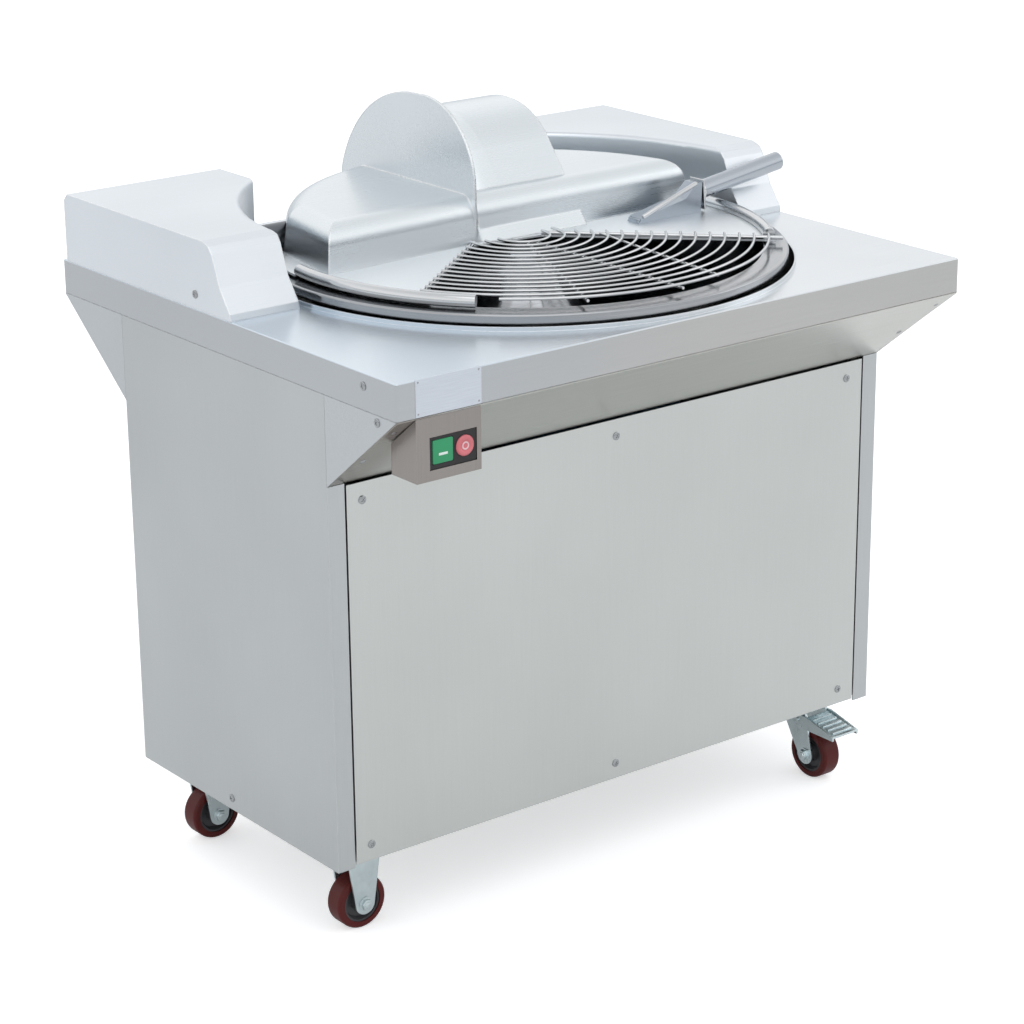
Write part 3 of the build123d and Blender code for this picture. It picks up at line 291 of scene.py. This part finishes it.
plate_metal, tree, shader, place = new_material("plate_metal")
fine = node(tree, "ShaderNodeMapping", {"Vector": place, "Scale": (30, 900, 900)})
brushing = noise(tree, fine.outputs[0], 1.0, 2.0)
plate_tone = mixed(tree, brushing, (0.50, 0.54, 0.60, 1), (0.66, 0.70, 0.76, 1))
plate_rough = scaled(tree, brushing, 0.0, 1.0, 0.3, 0.42)
tree.links.new(plate_tone, shader.inputs["Base Color"])
tree.links.new(plate_rough, shader.inputs["Roughness"])
shader.inputs["Metallic"].default_value = 0.25

plate_left, plate_right = -0.470, -0.366
plate_low, plate_high = 0.8155, 0.8655
plate_thick = 0.0008
rim_front = -0.415
plate = new_box(
    ((plate_left + plate_right) / 2, rim_front - plate_thick / 4, (plate_low + plate_high) / 2),
    (plate_right - plate_left, plate_thick, plate_high - plate_low),
)
inset_faces(plate, (0, -1, 0), (0.0022, 0), (0.0007, -0.00015))
round_edges(plate, 0.0002)
finish_piece("name_plate", plate_metal, "cabinet")

# ---- cabinet ----
# The cabinet is folded from 1.5 mm stainless sheet. The side and back panels are ground up and
# down, and the front panel is a loose cover held by six screws.
along_z = (stroke_fine, stroke_fine, stroke_long)
panel_steel = ground_steel(
    "panel_steel", (0.575, 0.59, 0.575), 0.36, along_z, grain=0.06, cloud=0.12, soften=0.001, wear_and_highlight=0.4,
)
# The side panels are a darker copy of the panel steel, a painted shade on the cabinet's ends.
shaded_side_steel = ground_steel(
    "shaded_side_steel", (0.495, 0.515, 0.52), 0.36, along_z, grain=0.06, cloud=0.14, soften=0.001, wear_and_highlight=0.4,
)
apron_steel = ground_steel(
    "apron_steel", (0.55, 0.55, 0.52), 0.3, along_x, grain=0.14, cloud=0.10, soften=0.001, wear_and_highlight=0.5,
)

# The apron is darker towards the switch box, a painted shade beside it. Its ends lie flush with the
# side panels and share their tone, painted shade included.
end_inner, end_outer = 0.4990, 0.4998
# Painted shade: the apron darkens towards the switch box.
tone_along(apron_steel, "X", -0.47, -0.40, (0.66, 0.62, 0.61))
# Painted shade: the apron's ends are brought to the darker tone of the side panels.
tone_along(apron_steel, "X", -end_outer, -end_inner, (1.38, 1.54, 1.70))
tone_along(apron_steel, "X", end_outer, end_inner, (0.91, 0.955, 1.04))
dress(panel_steel, "front_panel", "rear_panel")
dress(shaded_side_steel, "left_side_panel", "right_side_panel")
dress(apron_steel, "front_apron", "rear_apron")

# ---- fasteners ----
# Pan-head screws with a cross recess hold the panels and housings, and domed rivets hold the
# corners of the apron.


def new_rod(place, radius, length, sides, rotation=(0, 0, 0)):
    """A rod about the place, to be shaped further."""
    bpy.ops.object.select_all(action="DESELECT")
    bpy.ops.mesh.primitive_cylinder_add(
        vertices=sides, radius=radius, depth=length, location=place, rotation=rotation,
    )
    bpy.ops.object.transform_apply(location=True, rotation=True, scale=True)
    return bpy.context.object


def set_down(source, place, facing, turn=0.0, size=1.0):
    """A copy, with its own mesh, of a piece made about the origin. Its top looks the facing way."""
    copy = source.copy()
    copy.data = source.data.copy()
    scene.collection.objects.link(copy)
    lean = Vector(facing).to_track_quat("Z", "Y").to_matrix().to_4x4()
    spin = Matrix.Rotation(turn, 4, "Z") @ Matrix.Scale(size, 4)
    copy.data.transform(Matrix.Translation(place) @ lean @ spin)
    return copy


def join_copies(copies, name, finish, body):
    """Makes one piece of the copies."""
    bpy.ops.object.select_all(action="DESELECT")
    for copy in copies:
        copy.select_set(True)
    bpy.context.view_layer.objects.active = copies[0]
    bpy.ops.object.join()
    return finish_piece(name, finish, body)


fastener_steel = ground_steel(
    "fastener_steel", (0.36, 0.37, 0.38), 0.16, (400, 400, 400), grain=0.2, cloud=0.1, soften=0.0003,
)
screw = new_rod((0, 0, 0.0004), radius=0.006, length=0.0008, sides=28)
inset_faces(screw, (0, 0, 1), (0.0009, 0.0006), (0.0015, 0.0004), (0.0016, 0.00015))
recess_long, recess_wide, recess_deep = 0.0062, 0.0011, 0.0018
for length, width in ((recess_long, recess_wide), (recess_wide, recess_long)):
    blade = new_box((0, 0, 0.0019), (length, width, recess_deep))
    cut = screw.modifiers.new("recess", "BOOLEAN")
    cut.operation = "DIFFERENCE"
    cut.object = blade
    bpy.ops.object.select_all(action="DESELECT")
    bpy.context.view_layer.objects.active = screw
    screw.select_set(True)
    bpy.ops.object.modifier_apply(modifier="recess")
    bpy.data.objects.remove(blade)
bpy.ops.object.shade_smooth_by_angle(angle=math.radians(40))

# Six screws on each cover, front and back, and four at each end of the cabinet.
cover_face, cabinet_end = 0.254, 0.500
cover_columns = (-0.444, -0.008, 0.438)
cover_rows = (0.158, 0.659)
end_places = ((0.014, 0.148), (-0.344, 0.847), (-0.373, 0.805), (0.052, 0.886))
screws = []
for side in (-1, 1):
    for x in cover_columns:
        for z in cover_rows:
            screws.append(set_down(screw, (x, side * cover_face, z), (0, side, 0), x * 40 + z * 9))
    for y, z in end_places:
        screws.append(set_down(screw, (side * cabinet_end, y, z), (side, 0, 0), y * 30 + z * 9))
heads = join_copies(screws, "screw_heads", fastener_steel, "cabinet")
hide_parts("cover_screws")
bpy.data.objects.remove(screw)

# A rivet is a flattened ball, cut off just below its middle, with its flat back closed.
bpy.ops.object.select_all(action="DESELECT")
bpy.ops.mesh.primitive_uv_sphere_add(segments=24, ring_count=12, radius=0.0048)
rivet = bpy.context.object
rivet.scale = (1, 1, 0.45)
bpy.ops.object.transform_apply(location=True, rotation=True, scale=True)
bpy.ops.object.mode_set(mode="EDIT")
bpy.ops.mesh.select_mode(type="VERT")
bpy.ops.mesh.select_all(action="SELECT")
bpy.ops.mesh.bisect(plane_co=(0, 0, -0.0003), plane_no=(0, 0, 1), clear_inner=True)
bpy.ops.mesh.extrude_region_move()
bpy.ops.mesh.merge(type="CENTER")
bpy.ops.object.mode_set(mode="OBJECT")
bpy.ops.object.shade_smooth_by_angle(angle=math.radians(40))

gusset_x = 0.484
apron_slope = (0, -0.6195, -0.785)
rivets = []
for side in (-1, 1):
    for y, z in ((-0.387, 0.7929), (-0.3147, 0.7359)):
        rivets.append(set_down(rivet, (side * gusset_x, y, z), apron_slope))
join_copies(rivets, "apron_rivets", fastener_steel, "cabinet")

rivet_inset, rivet_foot, small_rivet = 0.004, 0.00014, 0.35
rivets = []
for x in (plate_left + rivet_inset, plate_right - rivet_inset):
    for z in (plate_low + rivet_inset, plate_high - rivet_inset):
        rivets.append(set_down(rivet, (x, rim_front - rivet_foot, z), (0, -1, 0), size=small_rivet))
join_copies(rivets, "plate_rivets", fastener_steel, "cabinet")
bpy.data.objects.remove(rivet)

# ---- inside of the cabinet ----
# A welded frame, a tray and the brackets of the two motors, left as cut from dull sheet.
dull_steel = ground_steel("dull_steel", (0.36, 0.37, 0.37), 0.5, along_x, grain=0.15, cloud=0.2)
dress(dull_steel, "base_tray", "inner_frame", "motor_bracket", "bearing_pedestal")

# ---- housings ----
# Two folded covers welded shut and blasted to an even satin. Their hollowed sides follow the
# bowl.
# The steel's tone is tinted blue, a painted reflection of the surroundings.
housing_steel = ground_steel(
    "housing_steel", (0.70, 0.735, 0.77), 0.34, along_x, grain=0.05, cloud=0.14, soften=0.003, wear_and_highlight=0.9,
)
dress(housing_steel, "left_housing", "right_housing")

# ---- lid ----
# A flat lid plate with the hood and the knife cover welded on it and brushed by hand. The grip
# is a plain tube on a folded bracket, and the guard is welded from round wire.
lid_steel = ground_steel(
    "lid_steel", (0.69, 0.73, 0.755), 0.28, along_x,
    grain=0.08, cloud=0.14, depth=0.00001, soften=0.004, wear_and_highlight=0.9,
)
plate_steel = ground_steel(
    "plate_steel", (0.84, 0.87, 0.89), 0.42, along_x, grain=0.08, cloud=0.10, soften=0.001, wear_and_highlight=0.3,
)
grip_steel = ground_steel(
    "grip_steel", (0.44, 0.47, 0.51), 0.13, along_x, grain=0.10, cloud=0.10, soften=0.001, wear_and_highlight=0.5,
)
bracket_steel = ground_steel(
    "bracket_steel", (0.36, 0.40, 0.45), 0.25, along_x, grain=0.14, cloud=0.2, soften=0.001, wear_and_highlight=0.6,
)
wire_steel = ground_steel("wire_steel", (0.60, 0.61, 0.62), 0.16, along_x, grain=0.05, cloud=0.05)
dress(lid_steel, "lid_hood")
dress(plate_steel, "lid_plate")
dress(grip_steel, "handle_grip")
dress(bracket_steel, "handle_bracket")
dress(wire_steel, "guard_bars", "guard_rings", "lid_edge_tube", "hinge_lugs", "hinge_pins", "knife_nut")

# A weld bead runs round the grip where it meets its bracket.
bracket_y = -0.030
grip_foot = (0.339, bracket_y, 0.9212)
grip_way = Vector((0.160, 0, 0.023))
bpy.ops.object.select_all(action="DESELECT")
bpy.ops.mesh.primitive_torus_add(
    major_radius=0.0138, minor_radius=0.0022, major_segments=72, minor_segments=10,
    location=grip_foot, rotation=grip_way.to_track_quat("Z", "Y").to_euler(),
)
bead = bpy.context.object
bpy.ops.object.transform_apply(location=True, rotation=True, scale=True)
bead_ripple = bpy.data.textures.new("bead_ripple", "CLOUDS")
bead_ripple.noise_scale = 0.005
ripple = bead.modifiers.new("ripple", "DISPLACE")
ripple.texture = bead_ripple
ripple.strength = 0.0012
bpy.ops.object.modifier_apply(modifier="ripple")
bpy.ops.object.shade_smooth()
finish_piece("grip_weld", wire_steel, "lid")

# A small tab closes the low end of the bracket. Its outer face leans with the bracket's end.
tab = new_box((0.2135, bracket_y, 0.8946), (0.004, 0.0246, 0.0068))
pick_faces(tab, (-1, 0, 0))
bpy.ops.transform.translate(value=(-0.001, 0, -0.0006))
bpy.ops.object.mode_set(mode="OBJECT")
round_edges(tab, 0.0006)
finish_piece("bracket_tab", bracket_steel, "lid")

# A round bar stiffens the bracket's upper edge, and a flat flange closes it under the grip.
bar_low, bar_high = Vector((0.217, -0.0435, 0.9005)), Vector((0.321, -0.0435, 0.9365))
bar_run = bar_high - bar_low
edge_bar = new_rod(
    (bar_low + bar_high) / 2, radius=0.0034, length=bar_run.length, sides=24,
    rotation=bar_run.to_track_quat("Z", "Y").to_euler(),
)
round_edges(edge_bar, 0.0014, 3)
finish_piece("bracket_bar", wire_steel, "lid")
flange = new_box((0.3345, bracket_y, 0.9170), (0.003, 0.031, 0.046))
pick_faces(flange, (0, 0, -1))
bpy.ops.transform.translate(value=(0.004, 0, 0))
bpy.ops.object.mode_set(mode="OBJECT")
round_edges(flange, 0.0009, 3)
finish_piece("grip_flange", wire_steel, "lid")

# ---- bowl ----
# The bowl is spun from thick sheet and turned bright, which leaves fine rings about its middle.
# The knife spindle reaches over it in a tube, its tone darkened as painted shade.
bowl_centre = (0.016, -0.012)


def turned_steel(name, centre, tone, rough, grain):
    """Bright metal turned on a lathe about an upright axis through centre."""
    material, tree, shader, place = new_material(name)
    moved = node(tree, "ShaderNodeMapping", {"Vector": place, "Location": (-centre[0], -centre[1], 0)})
    split = node(tree, "ShaderNodeSeparateXYZ", {0: moved.outputs[0]})
    flat = node(
        tree, "ShaderNodeVectorMath", {0: moved.outputs[0], 1: (1, 1, 0)}, operation="MULTIPLY",
    )
    reach = node(tree, "ShaderNodeVectorMath", {0: flat.outputs[0]}, operation="LENGTH")
    way = node(tree, "ShaderNodeVectorMath", {0: flat.outputs[0]}, operation="NORMALIZE")
    turns = node(tree, "ShaderNodeVectorMath", {0: way.outputs[0], "Scale": 1.4}, operation="SCALE")
    rise = calc(tree, "ADD", reach.outputs["Value"], split.outputs["Z"])
    ridges = node(tree, "ShaderNodeCombineXYZ", {"Z": calc(tree, "MULTIPLY", rise, 900.0)})
    strokes = node(tree, "ShaderNodeVectorMath", {0: turns.outputs[0], 1: ridges.outputs[0]})
    color = grind(
        tree, shader, place, strokes.outputs[0], tone, rough, grain, cloud=0.08, depth=0.00003,
    )
    tree.links.new(color, shader.inputs["Base Color"])
    return material


bowl_steel = turned_steel("bowl_steel", bowl_centre, (0.37, 0.38, 0.395), 0.17, grain=0.35)
cap_steel = turned_steel("cap_steel", bowl_centre, (0.62, 0.65, 0.69), 0.2, grain=0.2)
shaft_steel = ground_steel("shaft_steel", (0.52, 0.53, 0.54), 0.2, along_x, grain=0.12, cloud=0.1)
# Painted shade: the tube is given a dark tone for the shade it lies in.
shaded_tube_steel = ground_steel("shaded_tube_steel", (0.14, 0.15, 0.165), 0.35, along_x, grain=0.2, cloud=0.3)
dress(bowl_steel, "bowl", "bowl_shaft")
dress(cap_steel, "bowl_cap")
dress(shaft_steel, "spindle", "spindle_bearings")
dress(shaded_tube_steel, "bearing_tube")

# ---- knives ----
# Sickle knives ground from tool steel plate, with clamping discs between them.
along_y = (stroke_fine, stroke_long, stroke_fine)
knife_steel = ground_steel("knife_steel", (0.60, 0.61, 0.62), 0.2, along_y, grain=0.2, cloud=0.1)
dress(knife_steel, "knife_1", "knife_2", "knife_3", "knife_clamps")

# ---- drive ----
# Painted motors and gearbox, cast pulleys and a rubber belt with three ribs.


def painted(name, tone, rough, metallic=0.0, spread=0.14, speck=220.0):
    """Paint, rubber or moulded plastic: faint patches, fine specks and uneven gloss."""
    material, tree, shader, place = new_material(name)
    specks = noise(tree, place, speck, 3.0)
    patches = noise(tree, place, 18.0, 4.0)
    dark = (*[level * (1 - spread) for level in tone], 1)
    light = (*[min(1.0, level * (1 + spread)) for level in tone], 1)
    gloss = scaled(tree, patches, 0.0, 1.0, rough - 0.08, rough + 0.08)
    bump = node(tree, "ShaderNodeBump", {"Height": specks, "Strength": 0.3, "Distance": 0.0002})
    tree.links.new(mixed(tree, patches, dark, light), shader.inputs["Base Color"])
    tree.links.new(gloss, shader.inputs["Roughness"])
    tree.links.new(bump.outputs[0], shader.inputs["Normal"])
    shader.inputs["Metallic"].default_value = metallic
    return material


motor_paint = painted("motor_paint", (0.10, 0.17, 0.24), 0.45)
pulley_iron = painted("pulley_iron", (0.16, 0.16, 0.16), 0.5, metallic=0.7, spread=0.3)
belt_rubber = painted("belt_rubber", (0.02, 0.02, 0.02), 0.7)
dress(motor_paint, "knife_motor", "bowl_motor", "gearbox", "bowl_bearing_housing")
dress(pulley_iron, "spindle_pulley", "motor_pulley")
dress(belt_rubber, "drive_belt")

# ---- switch ----
# A folded box under the rim holds a moulded switch with a green start and a red stop button.
# A bar marks the start button and a ring the stop button.
box_steel = ground_steel(
    "box_steel", (0.31, 0.285, 0.27), 0.3, along_z, grain=0.12, cloud=0.06, soften=0.001, wear_and_highlight=0.5,
)
switch_black = painted("switch_black", (0.012, 0.011, 0.012), 0.5)
start_green = painted("start_green", (0.02, 0.27, 0.11), 0.32, spread=0.2)
stop_red = painted("stop_red", (0.58, 0.15, 0.17), 0.32, spread=0.2)
mark_white = painted("mark_white", (0.70, 0.78, 0.74), 0.4, spread=0.05)
mark_pink = painted("mark_pink", (0.74, 0.52, 0.54), 0.4, spread=0.05)
dress(box_steel, "control_box")
dress(switch_black, "switch_body")
dress(start_green, "start_button")
dress(stop_red, "stop_button")
bar = new_box((-0.428, -0.4152, 0.7605), (0.014, 0.0008, 0.0034))
round_edges(bar, 0.0003)
finish_piece("start_mark", mark_white, "start_push")
bpy.ops.object.select_all(action="DESELECT")
bpy.ops.mesh.primitive_torus_add(
    major_radius=0.0046, minor_radius=0.0011, major_segments=40, minor_segments=10,
    location=(-0.393, -0.4159, 0.764), rotation=(math.radians(90), 0, 0),
)
ring = bpy.context.object
ring.scale = (1, 1, 0.5)
bpy.ops.object.shade_smooth()
finish_piece("stop_mark", mark_pink, "stop_push")

# ---- castors ----
# Zinc-plated pressed castors with red polyurethane tyres. The left two are fixed, and the right
# two swivel and have a foot brake.
castor_zinc = ground_steel(
    "castor_zinc", (0.60, 0.68, 0.70), 0.34, (40, 40, 40), grain=0.35, cloud=0.5, soften=0.001, wear_and_highlight=0.5,
)
hub_grey = painted("castor_hub", (0.045, 0.045, 0.05), 0.4, spread=0.25)
tyre_red = painted("castor_tyre", (0.085, 0.008, 0.007), 0.42, spread=0.35, speck=90.0)
tyre_red.node_tree.nodes["Principled BSDF"].inputs["Specular IOR Level"].default_value = 0.25
dress(castor_zinc, "rigid_forks", "swivel_plates", "front_right_fork", "rear_right_fork")
dress(castor_zinc, "front_right_brake_pedal", "rear_right_brake_pedal")
for corner in ("front_left", "rear_left", "front_right", "rear_right"):
    dress(hub_grey, corner + "_hub")
    dress(tyre_red, corner + "_tyre")

# Hexagonal axle nuts with a washer and a stub of thread.
nut = new_rod((0, 0, 0.0036), radius=0.0086, length=0.005, sides=6)
inset_faces(nut, (0, 0, 1), (0.0012, 0.0006), (0.0018, -0.0002), (0.0002, 0.0012))
round_edges(nut, 0.0003)
washer = new_rod((0, 0, 0.0006), radius=0.0105, length=0.0012, sides=32)
round_edges(washer, 0.0003)
nut.select_set(True)
bpy.context.view_layer.objects.active = nut
bpy.ops.object.join()
axle_z, leg_out = 0.040, 0.023
for corner, x, y, axle_way, turn, body in (
    ("front_left", -0.422, -0.180, (0, 1), 0.3, "cabinet"),
    ("rear_left", -0.422, 0.200, (0, 1), 0.3, "cabinet"),
    ("front_right", 0.436, -0.210, (1, 0), 0.5, "front_right_swivel"),
    ("rear_right", 0.436, 0.170, (1, 0), 0.5, "rear_right_swivel"),
):
    pair = []
    for side in (-1, 1):
        out_x, out_y = side * axle_way[0], side * axle_way[1]
        leg = (x + leg_out * out_x, y + leg_out * out_y, axle_z)
        pair.append(set_down(nut, leg, (out_x, out_y, 0), turn))
    join_copies(pair, corner + "_axle_nuts", castor_zinc, body)
bpy.data.objects.remove(nut)

# Five ribs are pressed into the sloping tread of each brake pedal.
rib = new_box((0, 0, 0.0008), (0.040, 0.0034, 0.0022))
round_edges(rib, 0.0009, 3)
pedal_x = 0.436
tread_start, tread_top, tread_fall = 0.032, 0.1030, 0.1875
tread_out = (0, -0.1841, 0.9829)
first_rib, rib_step = 0.044, 0.011
for corner, head_y in (("front_right", -0.180), ("rear_right", 0.200)):
    ribs = []
    for step in range(5):
        along = first_rib + rib_step * step
        height = tread_top - (along - tread_start) * tread_fall
        ribs.append(set_down(rib, (pedal_x, head_y - along, height), tread_out))
    join_copies(ribs, corner + "_pedal_ribs", castor_zinc, corner + "_brake")
bpy.data.objects.remove(rib)

# ---- studio ----
# A pale floor, a pale sky that is brightest a little above the horizon and dimmer overhead, and two soft
# lamps.
bpy.ops.object.select_all(action="DESELECT")
bpy.ops.mesh.primitive_plane_add(size=30, location=(0, 0, 0))
floor = bpy.context.object
floor.name = "studio_floor"
floor_paint, tree, shader, place = new_material("floor_paint")
tree.nodes.remove(shader)
path = node(tree, "ShaderNodeLightPath")
seen = calc(tree, "MULTIPLY", path.outputs["Is Camera Ray"], 0.50)
mirrored = calc(tree, "MULTIPLY", path.outputs["Is Glossy Ray"], 0.10)
shine = calc(tree, "ADD", seen, mirrored)
dull = node(tree, "ShaderNodeBsdfDiffuse", {"Color": (0.80, 0.81, 0.82, 1)})
glow = node(tree, "ShaderNodeEmission", {"Color": (1, 1, 1, 1), "Strength": shine})
lit = node(tree, "ShaderNodeAddShader", {0: dull.outputs[0], 1: glow.outputs[0]})
tree.links.new(lit.outputs[0], tree.nodes["Material Output"].inputs["Surface"])
floor.data.materials.append(floor_paint)

world = bpy.data.worlds.new("studio")
world.use_nodes = True
scene.world = world
tree = world.node_tree
way = node(tree, "ShaderNodeTexCoord")
split = node(tree, "ShaderNodeSeparateXYZ", {0: way.outputs["Generated"]})
ramp = node(tree, "ShaderNodeValToRGB", {"Fac": split.outputs["Z"]})
levels = ramp.color_ramp.elements
levels[0].position, levels[0].color = 0.0, (0.60, 0.64, 0.67, 1)
levels[1].position, levels[1].color = 1.0, (0.82, 0.83, 0.84, 1)
for height, color in (
    (0.10, (0.78, 0.82, 0.86, 1)),
    (0.25, (1.16, 1.16, 1.16, 1)),
    (0.60, (1.12, 1.13, 1.14, 1)),
):
    levels.new(height).color = color
path = node(tree, "ShaderNodeLightPath")
sky = mixed(tree, path.outputs["Is Camera Ray"], ramp.outputs["Color"], (1, 1, 1, 1))
tree.links.new(sky, tree.nodes["Background"].inputs["Color"])

for name, spot, size, power in (
    ("lamp_top", (-0.6, -1.2, 3.2), 2.4, 12),
    ("lamp_right", (3.0, -1.4, 1.8), 1.8, 5),
):
    light = bpy.data.lights.new(name, "AREA")
    light.size = size
    light.energy = power
    lamp = bpy.data.objects.new(name, light)
    scene.collection.objects.link(lamp)
    lamp.location = spot
    lamp.rotation_euler = (Vector((0, 0, 0.6)) - Vector(spot)).to_track_quat("-Z", "Y").to_euler()

# The camera looks in and down from the front left, with its horizon a little turned.
azimuth = math.radians(37.6104)
tilt = math.radians(19.1227)
roll = math.radians(-0.5676)
camera_place = (-2.5530, -3.3155, 1.9269)
ahead = Vector((math.sin(azimuth) * math.cos(tilt), math.cos(azimuth) * math.cos(tilt), -math.sin(tilt)))
level = Vector((math.cos(azimuth), -math.sin(azimuth), 0))
upward = level.cross(ahead)
right = math.cos(roll) * level + math.sin(roll) * upward
upright = -math.sin(roll) * level + math.cos(roll) * upward
sight = Matrix((right, upright, -ahead)).transposed().to_4x4()
sight.translation = camera_place
lens = bpy.data.cameras.new("camera")
lens.lens = 104.38
lens.sensor_width = 36
camera = bpy.data.objects.new("camera", lens)
scene.collection.objects.link(camera)
camera.matrix_world = sight
scene.camera = camera
scene.view_settings.view_transform = "Standard"
